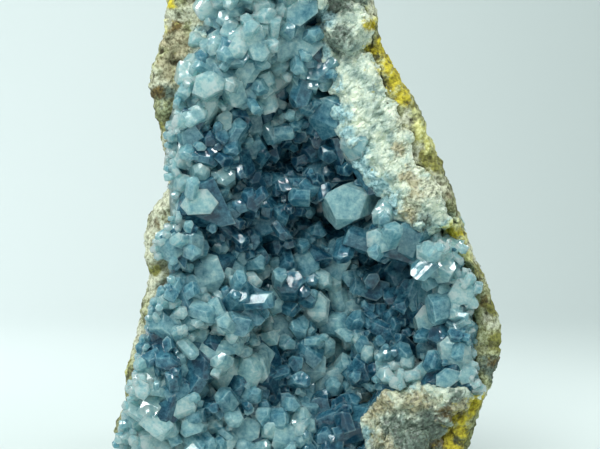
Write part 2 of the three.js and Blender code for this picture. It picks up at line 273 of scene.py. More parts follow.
def convex_solid(planes):
    """Corners and faces of the space inside planes, each (outward normal, distance)."""
    normals = np.array([normal for normal, _ in planes], float)
    distances = np.array([distance for _, distance in planes], float)
    corners = []
    for trio in combinations(range(len(planes)), 3):
        three = normals[list(trio)]
        if abs(np.linalg.det(three)) < TOUCH:
            continue
        corner = np.linalg.solve(three, distances[list(trio)])
        is_inside = (normals @ corner < distances + TOUCH).all()
        if is_inside and all(np.linalg.norm(corner - other) > 1e-3 for other in corners):
            corners.append(corner)
    corners = np.array(corners)
    faces = []
    for normal, distance in zip(normals, distances):
        ring = np.flatnonzero(abs(corners @ normal - distance) < 2e-3)
        if len(ring) < 3:
            continue
        arms = corners[ring] - corners[ring].mean(0)
        across = np.cross(normal, arms[0])
        sideways = arms @ across / np.linalg.norm(across)
        forward = arms @ arms[0] / np.linalg.norm(arms[0])
        order = np.argsort(np.arctan2(sideways, forward))
        faces.append([int(index) for index in ring[order]])
    return corners, faces


def crystal_shape(random, length):
    """A crystal one unit wide whose long axis is +X and whose root is at the origin."""
    vary = random.uniform  # each face grows out to a distance of its own, within these bounds
    planes = [((-1, 0, 0), BURIED)]
    for y in (-1, 1):
        for z in (-1, 1):
            long_side = (0, y * math.sin(SIDE), z * math.cos(SIDE))
            planes.append((long_side, vary(0.4, 0.52)))
    for z in (1, -1):
        planes.append(((0, 0, z), vary(0.32, 0.46)))
    for y in (-1, 1):
        chisel = (math.cos(WEDGE), y * math.sin(WEDGE), 0)
        planes.append((chisel, length * math.cos(WEDGE) * vary(0.85, 1.15)))
    for z in (-1, 1):
        cut_corner = (math.cos(CORNER), 0, z * math.sin(CORNER))
        planes.append((cut_corner, length * math.cos(CORNER) + vary(0.02, 0.3)))
    planes.append(((1, 0, 0), length * vary(0.72, 1.0)))
    return convex_solid(planes)


def is_closed(faces):
    """True if each edge of the faces is run once in each direction."""
    edges = [edge for face in faces for edge in zip(face, face[1:] + face[:1])]
    return len(set(edges)) == len(edges) and all((b, a) in set(edges) for a, b in edges)


# %% A set of crystals
SHAPE_COUNT = 36
STUBBIEST = 0.55  # lengths, as shares of the width
LONGEST = 1.15

shape_random = np.random.default_rng(3)
CRYSTAL_SHAPES = []
while len(CRYSTAL_SHAPES) < SHAPE_COUNT:
    shape = crystal_shape(shape_random, shape_random.uniform(STUBBIEST, LONGEST))
    if is_closed(shape[1]):
        CRYSTAL_SHAPES.append(shape)
corner_counts = [len(corners) for corners, _ in CRYSTAL_SHAPES]
print("Crystal shapes:", SHAPE_COUNT, "with", min(corner_counts), "to", max(corner_counts), "corners")

# %% [markdown]
# ## Planting crystals
#
# Crystals grow on every free spot of the wall, but where a big one has taken the room only its tip
# shows. So small crystals crowd into the gaps between large ones and leave most of the large faces
# clean. To copy that, rays are shot from each candidate spot: where many of them hit something
# near, the spot is sheltered and small crystals may grow. Each one leans toward the open side,
# where the solution that fed it came from.

# %% Scattering spots
def surface_of(thing):
    """An object's triangles, as an array of corners and a tree to shoot rays at."""
    mesh = thing.data
    mesh.calc_loop_triangles()
    index = np.empty(3 * len(mesh.loop_triangles), int)
    mesh.loop_triangles.foreach_get("vertices", index)
    places = vertex_vectors(mesh)
    tree = BVHTree.FromPolygons([tuple(p) for p in places], index.reshape(-1, 3).tolist())
    return places[index.reshape(-1, 3)], tree


def scatter(corners, spacing, random, crowd=3.0):
    """Spots and normals spread over triangles, no two closer than the spacing in metres."""
    cross = np.cross(corners[:, 1] - corners[:, 0], corners[:, 2] - corners[:, 0])
    area = np.linalg.norm(cross, axis=1) / 2
    count = int(crowd * area.sum() / spacing**2)
    chosen = random.choice(len(area), count, p=area / area.sum())
    a, b = random.random((2, count, 1))
    fold = a + b > 1
    a, b = np.where(fold, 1 - a, a), np.where(fold, 1 - b, b)
    first, second, third = (corners[chosen, i] for i in range(3))
    spots = first + a * (second - first) + b * (third - first)
    normals = cross[chosen] / (2 * area[chosen, None])
    taken = {}
    kept = []
    for i, cell in enumerate(map(tuple, np.floor(spots / spacing).astype(int))):
        near = (
            spots[j]
            for x in (-1, 0, 1)
            for y in (-1, 0, 1)
            for z in (-1, 0, 1)
            for j in taken.get((cell[0] + x, cell[1] + y, cell[2] + z), ())
        )
        if all(((spots[i] - other) ** 2).sum() > spacing**2 for other in near):
            taken.setdefault(cell, []).append(i)
            kept.append(i)
    return spots[kept], normals[kept]


# %% Shelter, the open side and the edge
def dome(count):
    """Directions spread evenly over the half sphere about +Z."""
    golden = math.pi * (3 - math.sqrt(5))
    heights = (np.arange(count) + 0.5) / count
    rings = np.sqrt(1 - heights**2)
    turns = golden * np.arange(count)
    return np.column_stack((rings * np.cos(turns), rings * np.sin(turns), heights))


PROBES = [Vector(direction) for direction in dome(9)]
COMPASS = [Vector((math.cos(turn), 0, math.sin(turn))) for turn in np.arange(8) * math.pi / 4]
IN_FRONT = -0.2  # metres along Y, well in front of the stone
LIFT_MM = 0.05  # probes start this far off the surface, so that they don't hit it


def shelter(tree, spot, normal, reach):
    """How enclosed a spot is, from 0 to 1, and the mean direction in which it is open."""
    turn = UP.rotation_difference(normal).to_matrix()
    start = spot + LIFT_MM * MM * normal
    hits = 0
    open_side = Vector((0, 0, 0))
    for probe in PROBES:
        direction = turn @ probe
        if tree.ray_cast(start, direction, reach)[0] is None:
            open_side += direction
        else:
            hits += 1
    return hits / len(PROBES), (open_side or normal).normalized()


def seen_at(tree, x, z):
    """The first point of a surface behind (x, z) as seen from the front, or None."""
    return tree.ray_cast(Vector((x, IN_FRONT, z)), BACKWARD)[0]


def is_inland(tree, spot, margin):
    """True if the surface goes on for that distance all round a spot."""
    return all(seen_at(tree, spot.x + margin * way.x, spot.z + margin * way.z) for way in COMPASS)


# %% [markdown]
# ## Growing crystals together
#
# A crystal that only overlaps its neighbour would show a wall inside the clear mineral. In a real
# crust the crystals are one solid, so the overlaps are joined with Boolean unions. Joining
# thousands of crystals one by one would be slow. They are sorted into rounds of crystals that
# don't touch one another instead, and each round is a single, fast union. Each crystal carries a
# number for how milky it is, which its faces keep through the unions.

# %% Fusing
def crystal_at(root, axis, width, shape, roll):
    """The corners in metres of a crystal of that width, rooted at a point along an axis."""
    turn = Vector((1, 0, 0)).rotation_difference(axis).to_matrix() @ Matrix.Rotation(roll, 3, "X")
    return width * CRYSTAL_SHAPES[shape][0] @ np.array(turn).T + np.array(root)


def joined_mesh(name, solids):
    """One mesh holding many solids, each (corners, faces, milkiness)."""
    corners = []
    faces = []
    milky = []
    start = 0
    for solid_corners, solid_faces, milkiness in solids:
        corners.append(solid_corners)
        faces.extend([[start + i for i in face] for face in solid_faces])
        milky.extend([milkiness] * len(solid_faces))
        start += len(solid_corners)
    mesh = bpy.data.meshes.new(name)
    mesh.from_pydata(np.concatenate(corners).tolist(), [], faces)
    mesh.attributes.new("milky", "FLOAT", "FACE").data.foreach_set("value", milky)
    return mesh


def rounds_of(solids):
    """Solids sorted into rounds, so that no two in a round touch."""
    centres = [solid[0].mean(0) for solid in solids]
    reaches = [
        np.linalg.norm(solid[0] - centre, axis=1).max() for solid, centre in zip(solids, centres)
    ]
    tree = KDTree(len(solids))
    for i, centre in enumerate(centres):
        tree.insert(centre, i)
    tree.balance()
    widest = max(reaches)
    number = {}
    for i, centre in enumerate(centres):
        near = tree.find_range(centre, reaches[i] + widest)
        used = {number[j] for _, j, gap in near if j in number and gap < reaches[i] + reaches[j]}
        number[i] = min(set(range(len(used) + 1)) - used)
    sorted_rounds = [[] for _ in range(max(number.values()) + 1)]
    for i, solid in enumerate(solids):
        sorted_rounds[number[i]].append(solid)
    return sorted_rounds


def fuse(body, solids):
    """Joins solids to a body with one union for each round."""
    all_rounds = rounds_of(solids)
    for solids_of_round in all_rounds:
        combine(body, joined_mesh("grown", solids_of_round), "UNION")
    print(f"{len(solids)} crystals in {len(all_rounds)} rounds make {triangles(body)} triangles")


# %% [markdown]
# ## Where the celestite is massive
#
# Not all of the crust ends in crystals. Along the right side, low on the right and at the upper
# left the break shows the massive layer itself: white to grey, sugary and opaque. Each such field
# is outlined by a few corners as seen from the front. A wavy prism over that outline cuts the
# field out of the clear crust, as a cookie cutter does, and later cuts the piece that fills it.

# %% Fields of massive celestite
# Corners (x mm, z mm) of each field.
MASSIVE_FIELDS = [
    [(9, 172), (10, 179), (7, 185), (4, 194), (6, 204), (4, 216), (26, 220), (33, 204), (50, 172),
     (60, 152), (67, 134), (70, 124), (58, 115), (47, 116), (35, 121), (28, 130), (22, 139),
     (15, 147), (12, 160)],
    [(25, 4), (26, 22), (22, 36), (30, 46), (44, 52), (60, 50), (73, 47), (73, 20), (60, 4)],
    [(-64, 168), (-66, 236), (-47, 236), (-41, 212), (-43, 194), (-49, 178), (-54, 170)],
]
FIELD_REACH_MM = 20  # roughly how far a field's corners are from its middle
OUTLINE_STEP_MM = 3
WAVE_LENGTH_MM = 7
WAVE_HEIGHT_MM = 1.4


def in_fields(points, grow_mm=0.0):
    """True for points in metres that lie in a field, as seen from the front."""
    x, z = points[:, 0] / MM, points[:, 2] / MM
    found = np.zeros(len(points), bool)
    for field in MASSIVE_FIELDS:
        middle = np.mean(field, axis=0)
        ring = middle + (np.array(field) - middle) * (1 + grow_mm / FIELD_REACH_MM)
        odd = np.zeros(len(points), bool)
        for (ax, az), (bx, bz) in zip(ring, np.roll(ring, -1, axis=0)):
            crosses = (az > z) != (bz > z)
            odd ^= crosses & (x < ax + (z - az) * (bx - ax) / (bz - az or 1))
        found |= odd
    return found


def prism(fields, y_front=-0.09, y_back=0.09):
    """One closed mesh of upright prisms, whose outlines are the fields with wavy sides."""
    form = bmesh.new()
    for field in fields:
        corners = [Vector(corner) for corner in field]
        outline = []
        for start, end in zip(corners, corners[1:] + corners[:1]):
            steps = max(1, round((end - start).length / OUTLINE_STEP_MM))
            for step in range(steps):
                point = start.lerp(end, step / steps) * MM
                place = Vector((point.x, 0, point.y))
                wave = [lumps(place, WAVE_LENGTH_MM, 2, seed) for seed in (5, 6)]
                outline.append(point + WAVE_HEIGHT_MM * MM * Vector(wave))
        front = [form.verts.new((point.x, y_front, point.y)) for point in outline]
        back = [form.verts.new((point.x, y_back, point.y)) for point in outline]
        form.faces.new(front)
        form.faces.new(back[::-1])
        for i in range(len(outline)):
            form.faces.new((front[i - 1], back[i - 1], back[i], front[i]))
    bmesh.ops.recalc_face_normals(form, faces=form.faces)
    mesh = bpy.data.meshes.new("prism")
    form.to_mesh(mesh)
    form.free()
    return mesh


# %% The clear crust
EDGE_ZONE_MM = 5  # along its edge the crust is thin, sugary and pale
MILKY_EDGE = 0.8
MILKY_INSIDE = 0.1

crust = welded("crystal_crust", "celestite_crust")
WHOLE_CRUST = surface_of(crust)[1]
combine(crust, prism(MASSIVE_FIELDS), "DIFFERENCE")
crust.data.attributes.new("milky", "FLOAT", "FACE")
inside = [is_inland(WHOLE_CRUST, face.center, EDGE_ZONE_MM * MM) for face in crust.data.polygons]
milkiness = np.where(inside, MILKY_INSIDE, MILKY_EDGE)
crust.data.attributes["milky"].data.foreach_set("value", milkiness)
print("Crust without its massive fields:", triangles(crust), "triangles")

# %% [markdown]
# ## The large crystals
#
# The CAD crust holds the large crystals as plain chisel shapes. Bevels would soften those and give
# no new faces, so each gets its full set of faces here. It stands at the same place and a hair
# larger, which hides the plain shape inside the finished one. A ray from the front finds its tip.
# More crystals, a little smaller, stand between them. Some tips end in a broad flat face and look
# like blocks, and others end in an edge, so each row names its shape.

# %% Large crystals
# Each is (x mm, z mm, width mm, lean right, lean up, roll in degrees, milkiness, shape).
LARGE = [
    (24, 127, 21, -0.2, 0.0, 45, 0.8, 15), (-44, 128, 13.5, 0.0, 0.15, -6, 1.0, 28),
    (-29, 127, 11, 0.2, 0.2, 20, 0.6, 15), (-20, 129, 13, 0.1, 0.3, 60, 0.25, 26),
    (7, 139, 21, 0.1, 0.2, 28, 0.3, 11), (9, 163, 19, -0.35, 0.05, 65, 0.5, 35),
    (18, 152, 14, -0.4, 0.0, 70, 0.9, 5), (0, 193, 15, 0.4, 0.25, 35, 0.95, 9),
    (0, 183, 12, 0.3, 0.35, 75, 0.95, 16), (-19, 117, 13, -0.1, 0.1, 15, 0.45, 19),
    (-41, 99, 17, -0.05, 0.2, 100, 0.7, 9), (-2, 101, 15, 0.1, 0.2, 22, 0.6, 5),
    (12, 99, 15, -0.15, 0.15, 50, 0.75, 15), (4, 81, 14, -0.05, 0.0, 84, 0.85, 28),
    (18, 80, 11, 0.1, 0.1, 10, 0.8, 19), (39, 95, 15, -0.2, 0.3, 12, 0.3, 20),
    (47, 89, 16, 0.1, 0.1, 65, 0.45, 11), (50, 79, 12, 0.05, 0.25, 40, 1.0, 28),
    (42, 111, 19, -0.2, -0.35, 90, 0.6, 16), (-39, 67, 17, -0.1, 0.35, 48, 1.0, 5),
    (-22, 63, 15, 0.15, 0.2, 0, 0.8, 15), (-33, 56, 17, 0.05, -0.1, 33, 1.0, 9),
    (-46, 61, 14, -0.3, 0.1, 77, 0.1, 20), (-11, 74, 15, 0.2, 0.25, 15, 0.65, 27),
    (-13, 86, 13, 0.1, 0.3, 57, 0.8, 16), (9, 49, 14, 0.2, -0.15, 81, 0.75, 11),
    (-55, 111, 15, -0.1, 0.2, 25, 0.75, 25), (-30, 192, 14, 0.15, 0.3, 66, 0.5, 18),
    (-12, 180, 13, -0.15, 0.2, 30, 1.0, 28), (-20, 159, 18, 0.35, 0.05, 95, 0.6, 5),
    (-47, 163, 11, -0.2, 0.3, 12, 1.0, 19), (-39, 174, 12, 0.15, 0.15, 50, 1.0, 11),
    (0, 39, 13, 0.3, -0.25, 5, 0.4, 32), (-50, 37, 16, -0.3, 0.3, 70, 0.45, 18),
    (-27, 33, 15, 0.1, 0.15, 20, 0.75, 15), (-63, 24, 13, -0.2, 0.2, 44, 0.7, 12),
]
# More crystals, each with how many millimetres its tip stands out of the wall as its last value.
BETWEEN = [
    (20, 126, 20, -0.7, -0.18, 42, 0.85, 26, 17), (-3, 205, 14, 0.1, 0.15, 30, 0.8, 15, 6),
    (-22, 145, 12, 0.1, 0.3, 45, 0.2, 26, 5), (-6, 150, 14, 0.1, 0.0, 10, 0.0, 2, 6),
    (-34, 138, 9, 0.0, 0.3, 20, 0.9, 16, 4), (25, 112, 12, 0.1, -0.2, 80, 0.5, 5, 6),
    (53, 105, 9, -0.2, 0.3, 20, 1.0, 28, 5), (63, 91, 14, 0.1, 0.2, 50, 1.0, 9, 5),
    (57, 97, 11, 0.0, 0.1, 10, 0.75, 11, 4), (47, 57, 9, 0.1, 0.2, 30, 0.9, 16, 4),
    (-21, 96, 10, 0.1, 0.2, 20, 0.9, 9, 5), (-34, 109, 12, 0.1, 0.2, 30, 0.3, 20, 5),
    (-41, 79, 12, 0.0, 0.35, 20, 1.0, 15, 6), (2, 57, 14, 0.15, 0.1, 81, 0.8, 35, 6),
    (16, 65, 13, 0.1, 0.2, 30, 0.75, 18, 6), (9, 35, 13, 0.05, 0.05, 20, 0.0, 15, 5),
    (-20, 38, 11, 0.1, 0.2, 20, 0.9, 16, 5), (-10, 31, 14, 0.1, 0.2, 66, 0.8, 27, 6),
    (-64, 44, 12, -0.2, 0.3, 44, 1.0, 9, 4), (-22, 210, 13, -0.1, 0.3, 15, 0.8, 19, 5),
    (-36, 203, 11, -0.1, 0.2, 75, 0.7, 11, 5), (-28, 84, 11, -0.1, 0.1, 55, 0.2, 20, 5),
    (29, 88, 11, 0.0, 0.2, 25, 0.15, 11, 5), (-8, 118, 11, 0.1, 0.1, 35, 0.3, 27, 5),
    (-48, 84, 11, -0.1, 0.3, 10, 0.9, 9, 4), (4, 82, 11, 0.0, 0.05, 84, 0.95, 28, 5),
    (57, 55, 10, 0.0, 0.3, 20, 0.75, 11, 3), (65, 57, 9, 0.1, 0.3, 50, 0.85, 9, 3),
    (50, 66, 11, 0.0, 0.2, 35, 0.55, 5, 4), (-26, 170, 10, 0.1, 0.2, 15, 0.8, 16, 4),
    (-4, 168, 11, 0.0, 0.1, 55, 0.5, 27, 4), (-34, 160, 9, -0.1, 0.2, 75, 0.8, 11, 4),
    (-38, 184, 9, 0.0, 0.2, 20, 0.9, 9, 4), (-32, 197, 10, 0.1, 0.2, 55, 0.85, 16, 5),
    (-38, 194, 8, 0.25, 0.1, 80, 0.9, 11, 4), (-28, 187, 9, 0.1, 0.3, 35, 0.8, 27, 4),
]
TIP_PROUD = 1.2  # millimetres that a finished crystal stands out of its plain CAD shape


def large_crystals(tree, listing):
    """Finished crystals whose tips are in front of the surface seen at their places."""
    grown = []
    for x, z, width, right, up, roll, milkiness, shape, out in listing:
        axis = Vector((right, -1, up)).normalized()
        tip = seen_at(tree, x * MM, z * MM)
        length = float(CRYSTAL_SHAPES[shape][0][:, 0].max()) * width
        root = tip - (length - out) * MM * axis
        corners = crystal_at(root, axis, width * MM, shape, math.radians(roll))
        grown.append((corners, CRYSTAL_SHAPES[shape][1], milkiness))
    return grown


fuse(crust, large_crystals(WHOLE_CRUST, [(*row, TIP_PROUD) for row in LARGE] + BETWEEN))

# %% [markdown]
# ## The crowd between the large crystals
#
# Between the large crystals every bit of wall is grown over. Scattering copies evenly would look
# like gravel. Three generations grow instead, each smaller than the last and each choosing its
# spots on all that grew before it. A generation keeps its distance from the crust's outer edge, so
# the crystals shrink toward the rim as they do in a real geode, where the edge was the last to be
# fed. A fourth generation, the finest, grows along that edge alone.

# %% Where the crystals are milky, clear or missing
# Each is (x mm, z mm, radius mm). The clusters are nearly white. The crystals of the pockets are
# clearer, and their deep blue is also painted shade for the depth of the pockets.
MILKY_CLUSTERS = [
    (-40, 77, 12), (-38, 63, 11), (-34, 54, 10), (-66, 41, 14), (-62, 28, 13), (-33, 35, 11),
    (-43, 127, 8), (-57, 110, 7), (-41, 100, 7), (-38, 172, 8), (-48, 164, 8), (-12, 180, 8),
    (-20, 206, 13), (-3, 207, 12), (-34, 214, 10), (-27, 191, 8), (10, 95, 8), (17, 83, 6),
    (4, 80, 6), (4, 52, 7), (16, 64, 7), (28, 62, 6), (-15, 72, 8), (-23, 62, 7), (50, 79, 5),
    (64, 92, 8), (47, 56, 7), (-9, 33, 8), (-22, 37, 6), (62, 47, 9), (-21, 96, 5), (-50, 140, 7),
    (30, 112, 6), (-28, 163, 9), (-14, 195, 10), (-30, 178, 9), (-8, 217, 9), (37, 117, 6),
    (48, 112, 7), (58, 112, 6), (24, 49, 6), (34, 56, 7), (47, 57, 7), (60, 57, 7), (-16, 166, 8),
]
CLEAR_SHADED_POCKETS = [
    (-2, 144, 13), (4, 156, 8), (-9, 129, 10), (13, 131, 9), (-36, 152, 7), (-55, 100, 6),
    (-50, 56, 6), (-60, 69, 5), (-30, 118, 7), (33, 102, 9), (21, 105, 8), (36, 92, 7), (-8, 61, 6),
    (9, 36, 10), (15, 26, 9), (58, 68, 7), (-29, 85, 6), (-27, 46, 6), (38, 73, 8), (-15, 110, 8),
    (-20, 136, 9), (-45, 115, 5), (-15, 48, 7), (28, 76, 7), (-6, 90, 6), (24, 54, 5), (-40, 44, 5),
]
# Small crystals mostly avoid the large ones, and leave the cleanest of them bare.
SPARED = [(x, z, 0.5 * width) for x, z, width, *_ in LARGE + BETWEEN]
CLEAN = [
    (19, 125, 14), (-44, 128, 9), (50, 79, 8), (4, 81, 8), (39, 95, 9), (47, 89, 9), (-41, 99, 7),
    (-33, 56, 7),
]
SPARED_SHARE = 0.85
CLEAN_SHARE = 1.4  # above 1, so that a clean crystal is bare well beyond its middle
USUAL = 0.47  # milkiness, where 0 is clear and 1 is white
MILKIER_IN_CLUSTER = 0.7
CLEARER_AND_SHADED_IN_POCKET = 0.65


def bare_share(spots):
    """From 0 to 1, how far spots are to be left without small crystals."""
    spared = SPARED_SHARE * patches(SPARED, spots)
    clean = np.minimum(CLEAN_SHARE * patches(CLEAN, spots), 1)
    return np.maximum(np.maximum(spared, in_fields(spots, 1.0)), clean)


def milkiness_at(spots):
    """How milky the crystals at spots usually are."""
    milkier = MILKIER_IN_CLUSTER * patches(MILKY_CLUSTERS, spots)
    # Lower milkiness in the pockets paints their crystals a darker blue: partly clearer crystal,
    # partly painted shade.
    return USUAL + milkier - CLEARER_AND_SHADED_IN_POCKET * patches(CLEAR_SHADED_POCKETS, spots)


# %% Growing a generation
FACING = 0.3  # walls that face further backward than this, as a cosine, stay bare
OUTWARD = 0.7  # how strongly a crystal points straight out of the wall ...
TO_THE_OPEN = 0.6  # ... and toward the open side of its spot
LEAN_SPREAD = 0.3
MILKY_SPREAD = 0.15
NEAR_EDGE_MM = 9  # crystals nearer to the edge than this are milkier ...
MILKIER = 0.3  # ... by this much


def plant(body, random, spacing_mm, widths_mm, reach_mm, gaps, chance, margin_mm, zone_mm=0):
    """Crystals of one generation, at spots spread over a body.

    gaps is how sheltered a spot is where they start and where they are sure to grow, and chance
    is for an open spot. They keep margin_mm inside the crust's edge, and within any zone_mm of it.
    """
    corners, tree = surface_of(body)
    cross = np.cross(corners[:, 1] - corners[:, 0], corners[:, 2] - corners[:, 0])
    faces_front = cross[:, 1] < FACING * np.linalg.norm(cross, axis=1)
    spots, normals = scatter(corners[faces_front], spacing_mm * MM, random)
    grown = []
    for spot, normal, bare, cloud in zip(spots, normals, bare_share(spots), milkiness_at(spots)):
        luck = random.random()
        width = random.uniform(*widths_mm) * MM
        roll = random.random() * math.pi
        shape = random.integers(SHAPE_COUNT)
        lean = Vector(random.normal(0, LEAN_SPREAD, 3))
        root = Vector(spot)
        normal = Vector(normal)
        enclosed, open_side = shelter(tree, root, normal, reach_mm * MM)
        likely = (1 - bare) * (chance + (1 - chance) * float(smooth(enclosed, *gaps)))
        if luck > likely or not is_inland(WHOLE_CRUST, root, margin_mm * MM):
            continue
        if zone_mm and is_inland(WHOLE_CRUST, root, zone_mm * MM):
            continue
        cloud += random.normal(0, MILKY_SPREAD)
        cloud += 0 if is_inland(WHOLE_CRUST, root, NEAR_EDGE_MM * MM) else MILKIER
        axis = (OUTWARD * normal + TO_THE_OPEN * open_side + lean).normalized()
        solid = crystal_at(root, axis, width, shape, roll)
        grown.append((solid, CRYSTAL_SHAPES[shape][1], float(np.clip(cloud, 0, 1))))
    return grown


# %% The generations
RANDOM = np.random.default_rng(11)

# Each is spacing, widths, reach of the probes, gaps, chance, margin and zone.
for generation in [
    (7.0, (7.5, 12.5), 14, (0.1, 0.5), 0.8, 5),
    (5.0, (5.0, 8.2), 10, (0.1, 0.5), 0.5, 3),
    (3.4, (2.8, 4.8), 7, (0.35, 0.95), 0.06, 1.5),
    (2.6, (2.2, 4.2), 4, (0.0, 0.5), 0.7, 0.4, EDGE_ZONE_MM),
]:
    fuse(crust, plant(crust, RANDOM, *generation))
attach(crust, "root")
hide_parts("crystal_crust")

# %% [markdown]
# ## Clear celestite
#
# Celestite is strontium sulphate. It is soft and glassy, refracts light a little more than window
# glass, and owes its pale blue to traces in the crystal, so thick parts look bluer than thin ones.
# Pure glass would turn black in the depth of such a crowd, where light hardly gets. Veils of tiny
# fluid drops make parts of each real crystal milky, and they send light back from inside. So the
# surface is half clear, by plain transmission with the mineral's own IOR and absorption, and half
# a body that scatters light, whose blue pales where the crystal is milky. Along thin, convex edges
# a pale colour is painted on as well: painted light, for the light that such edges let through.

# %% Celestite, what colours it
VEIL_MM = 2.2
BANK_MM = 10  # veils gather in banks of this size
# The pale edges are painted light: a paler colour laid along convex edges, not lit there.
THIN_MM = 1.0  # crystal thinner than this lets light through, so its edges look pale

celestite, tree, output, place = new_material("celestite, clear blue crystal")
milky = add(tree, "ShaderNodeAttribute", attribute_name="milky").outputs["Fac"]
veils = add(
    tree,
    "ShaderNodeTexNoise",
    {"Vector": place, "Scale": per_metre(VEIL_MM), "Detail": 5.0, "Roughness": 0.66},
).outputs["Fac"]
banks = add(
    tree, "ShaderNodeTexNoise", {"Vector": place, "Scale": per_metre(BANK_MM), "Detail": 2.0}
).outputs["Fac"]
veiled = add(
    tree, "ShaderNodeMapRange", {0: veils, 1: 0.3, 2: 0.7, 3: -0.6, 4: -0.08}, clamp=False
).outputs[0]
banked = add(
    tree, "ShaderNodeMath", {0: banks, 1: 0.8, 2: veiled}, operation="MULTIPLY_ADD"
).outputs[0]
cloud = add(
    tree, "ShaderNodeMath", {0: milky, 1: 0.8, 2: banked}, operation="MULTIPLY_ADD"
).outputs[0]
colour = add(
    tree,
    "ShaderNodeValToRGB",
    {"Fac": cloud},
    stops=[(0.0, "#1c5470"), (0.3, "#5192a9"), (0.6, "#8fc3ce"), (0.84, "#bae5e8"), (1.0, "#dcfbf6")],
).outputs["Color"]
depth_inside = add(
    tree,
    "ShaderNodeAmbientOcclusion",
    {"Distance": THIN_MM * MM},
    samples=4,
    inside=True,
    only_local=True,
).outputs["AO"]
# Painted light: near a thin, convex edge the colour is painted toward a pale #cef4f2.
painted_edge_light = add(tree, "ShaderNodeMapRange", {0: depth_inside, 1: 0.85, 2: 0.25, 3: 0.0, 4: 0.62}).outputs[0]
colour = add(
    tree, "ShaderNodeMix", {"Factor": painted_edge_light, 6: colour, 7: "#cef4f2"}, data_type="RGBA"
).outputs[2]

# %% Celestite, what glints
# Grown faces aren't quite flat: they step and dimple by hundredths of a millimetre. That and the
# worn edges catch lights that a flat face would miss. The steps are drawn coarse enough to show.
ROUNDED_MM = 0.4  # how far in from a worn edge the light starts to bend
DIMPLE_MM = 3.4
STEP_MM = 1.4
RELIEF_MM = 0.18

rough = add(tree, "ShaderNodeMapRange", {0: veils, 1: 0.35, 2: 0.65, 3: 0.03, 4: 0.14}).outputs[0]
dimples = add(
    tree, "ShaderNodeTexVoronoi", {"Vector": place, "Scale": per_metre(DIMPLE_MM)}
).outputs["Distance"]
steps = add(
    tree, "ShaderNodeTexNoise", {"Vector": place, "Scale": per_metre(STEP_MM), "Detail": 2.0}
).outputs["Fac"]
height = add(
    tree, "ShaderNodeMath", {0: steps, 1: 0.2, 2: dimples}, operation="MULTIPLY_ADD"
).outputs[0]
worn = add(tree, "ShaderNodeBevel", {"Radius": ROUNDED_MM * MM}, samples=4).outputs["Normal"]
bump = add(
    tree,
    "ShaderNodeBump",
    {"Height": height, "Distance": RELIEF_MM * MM, "Strength": 0.9, "Normal": worn},
)

# %% Celestite, clear
CELESTITE_IOR = 1.62

surface = add(
    tree,
    "ShaderNodeBsdfPrincipled",
    {
        "Base Color": colour,
        "Roughness": rough,
        "IOR": CELESTITE_IOR,
        "Transmission Weight": 0.45,
        "Subsurface Weight": 1.0,
        "Subsurface Radius": (1.0, 1.0, 1.0),
        "Subsurface Scale": 6.0 * MM,
        "Normal": bump.outputs["Normal"],
    },
)
depth = add(tree, "ShaderNodeVolumeAbsorption", {"Color": "#5f9db0", "Density": 60.0})
tree.links.new(surface.outputs[0], output.inputs["Surface"])
tree.links.new(depth.outputs[0], output.inputs["Volume"])
crust.data.materials.clear()
crust.data.materials.append(celestite)
crust.data.polygons.foreach_set("material_index", np.zeros(len(crust.data.polygons), int))
crust.data.shade_flat()
print("Clear crust:", triangles(crust), "triangles of", celestite.name)

# %% [markdown]
# ## The massive pieces
#
# The prisms now keep what they took away from the clear crust. Bump in the material alone would
# leave its outline smooth, so it is rebuilt from small even faces, and those are moved. It also
# comes forward a little, so that it stands over the crystals beside it. Noise makes the lumps, and
# a pattern of cells of random height makes the sugary, broken grain.

# %% Roughening a surface
FLAT_BELOW_MM = 0.6
ROUGH_ABOVE_MM = 3


def roughen(thing, waves, grain_sizes, pits=(), swell_mm=0.0, base_flat=False):
    """Moves vertices along their normals. Waves, grains and pits are (width mm, height mm, seed)."""
    mesh = thing.data
    places = vertex_vectors(mesh)
    normals = vertex_vectors(mesh, "normal")
    broad = np.full(len(places), swell_mm)
    fine = np.zeros(len(places))
    for size, height, seed in waves:
        broad += height * np.array([lumps(place, size, 2, seed) for place in places])
    for size, height, seed in grain_sizes:
        fine += height * np.array([grains(place, size, seed) for place in places])
    for size, depth, seed in pits:
        fine -= depth * smooth([lumps(place, size, 2, seed) for place in places], 0.15, 0.5)
    shift = (broad + fine) * MM
    if base_flat:
        shift *= smooth(places[:, 2] / MM, FLAT_BELOW_MM, ROUGH_ABOVE_MM)
    mesh.vertices.foreach_set("co", (places + shift[:, None] * normals).ravel())
    mesh.update()
    return fine


# %% Massive celestite
FACE_MM = 0.85
FORWARD_MM = 1.0
AT_RIGHT_MM = 3.0  # how much further forward it comes at the right, above the foot of the stone
ABOVE_FOOT_MM = (40.5, 43)
RIGHT_SIDE_MM = (38, 46)

massive = welded("crystal_crust", "celestite_massive")
combine(massive, prism(MASSIVE_FIELDS), "INTERSECT")
even_out(massive, FACE_MM)
places = vertex_vectors(massive.data)
is_above = smooth(places[:, 2] / MM, *ABOVE_FOOT_MM)
at_right = is_above * smooth(places[:, 0] / MM, *RIGHT_SIDE_MM)
places[:, 1] -= (FORWARD_MM + AT_RIGHT_MM * at_right) * MM
massive.data.vertices.foreach_set("co", places.ravel())
massive.data.update()
roughen(
    massive,
    waves=[(14, 1.8, 1), (5, 1.2, 2)],
    grain_sizes=[(3.4, 0.5, 4), (1.9, 0.35, 6)],
    pits=[(5, 1.4, 5)],
    swell_mm=0.8,
)
massive.data.shade_flat()
print("Massive celestite:", triangles(massive), "triangles")
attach(massive, "root")
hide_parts("crystal_crust")

# %% [markdown]
# ## Stains
#
# Clay and iron came in with the water after the stone broke open, and they stained the rim and the
# massive celestite alike. Painting them on an image would need flattened surfaces and would stretch
# there. Each stain is a few soft patches stored on the mesh instead, for both materials to share.
# The material makes their borders ragged with the rock's grain. The patches are given as seen from
# the front, so they drift to and fro further behind the rim, or they would run back as stripes.

